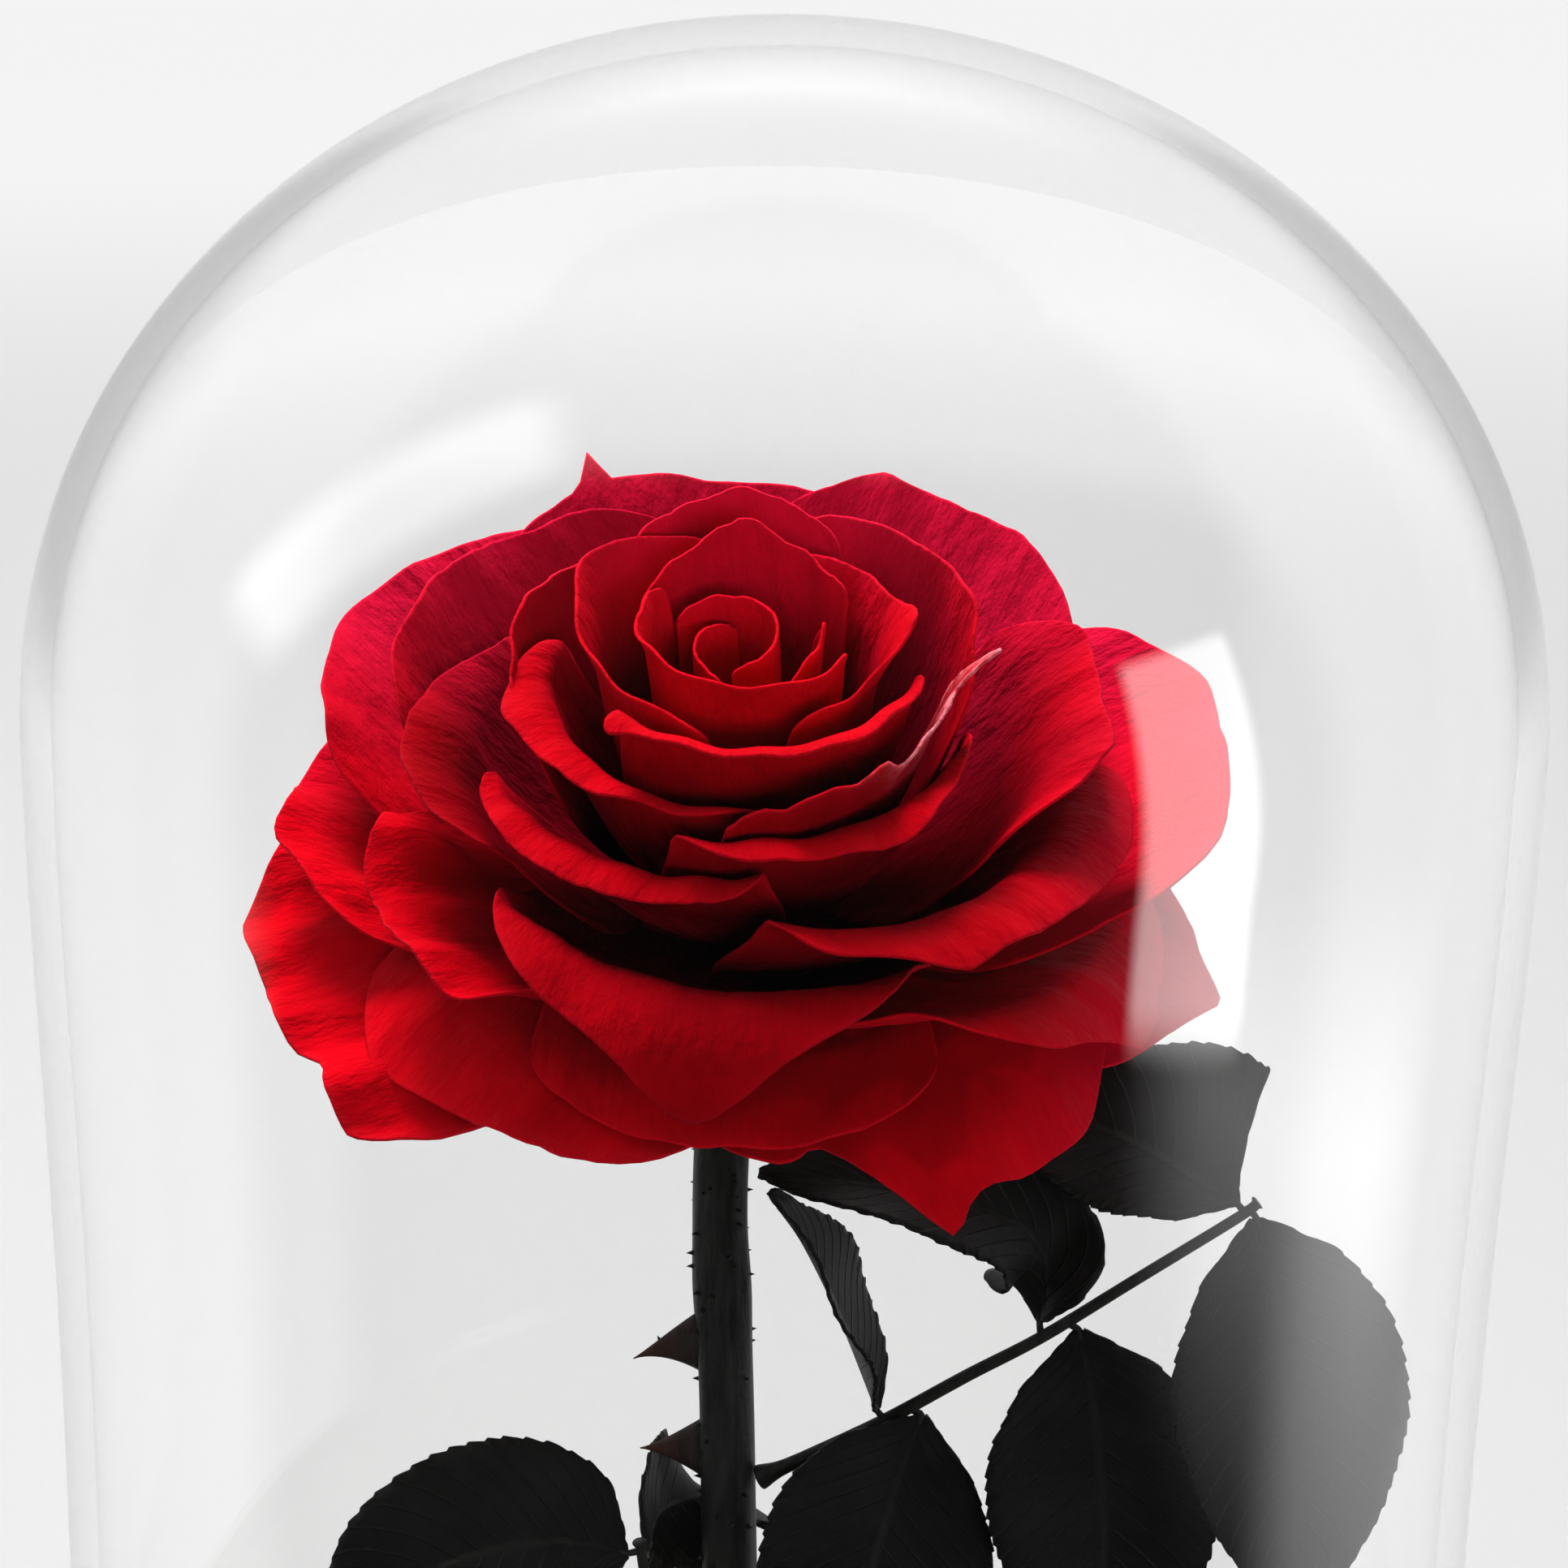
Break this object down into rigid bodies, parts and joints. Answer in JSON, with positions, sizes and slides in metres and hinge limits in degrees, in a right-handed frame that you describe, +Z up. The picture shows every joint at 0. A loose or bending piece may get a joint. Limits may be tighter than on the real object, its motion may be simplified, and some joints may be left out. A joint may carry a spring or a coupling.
{
  "type": "preserved rose in glass dome",
  "caption": "Single open red rose on a thorny leafy stem, standing upright in a low round wooden base under a tall clear glass dome.",
  "frame": {"origin": "middle of the base's flat underside", "axes": "+Z up through the dome's crown; the bloom nods towards -Y, the front"},
  "size_m": [0.21, 0.21, 0.293],
  "materials": {
    "wood_base": "dark stained, satin",
    "dome_glass": "clear, polished",
    "stem_bark": "dark, matt",
    "calyx_green": "dark dried green, matt",
    "leaf_stalk": "dark, matt",
    "leaf": "dark dried leaf, matt",
    "petal": "velvety, matt"
  },
  "bodies": {
    "root": {"base": "wood_base", "glass_dome": "dome_glass", "stem": "stem_bark", "calyx": "calyx_green", "leaf_stalk_right": "leaf_stalk", "leaf_stalk_left": "leaf_stalk", "leaflet_right_1_down": "leaf", "leaflet_right_2_down": "leaf", "leaflet_right_3_down": "leaf", "leaflet_right_1_up": "leaf", "leaflet_right_2_up": "leaf", "leaflet_right_3_up": "leaf", "leaflet_left_1_out": "leaf", "leaflet_left_1_back": "leaf", "leaflet_left_2_out": "leaf", "leaflet_left_2_front": "leaf", "petal_heart_inner": "petal", "petal_heart_outer": "petal", "petal_heart_small": "petal", "petal_bud_front": "petal", "petal_bud_back": "petal", "petal_bud_left": "petal", "petal_bud_right": "petal", "petal_bud_lip": "petal", "petal_inner_left": "petal", "petal_inner_back": "petal", "petal_inner_right": "petal", "petal_inner_front_left": "petal", "petal_torn": "petal", "petal_inner_front_right": "petal", "petal_middle_front_left": "petal", "petal_middle_left": "petal", "petal_middle_back_left": "petal", "petal_middle_back": "petal", "petal_middle_back_right": "petal", "petal_middle_right": "petal", "petal_middle_front_right": "petal", "petal_front_tongue": "petal", "petal_crumpled_left": "petal", "petal_outer_back_left": "petal", "petal_outer_right": "petal", "petal_outer_front_right": "petal", "petal_outer_left": "petal", "petal_drooping_left": "petal", "petal_drooping_front_left": "petal", "petal_drooping_front": "petal", "petal_drooping_point": "petal", "petal_drooping_right": "petal", "petal_hidden_back_right": "petal", "petal_hidden_back_left": "petal", "petal_hidden_right": "petal"}
  },
  "joints": []
}
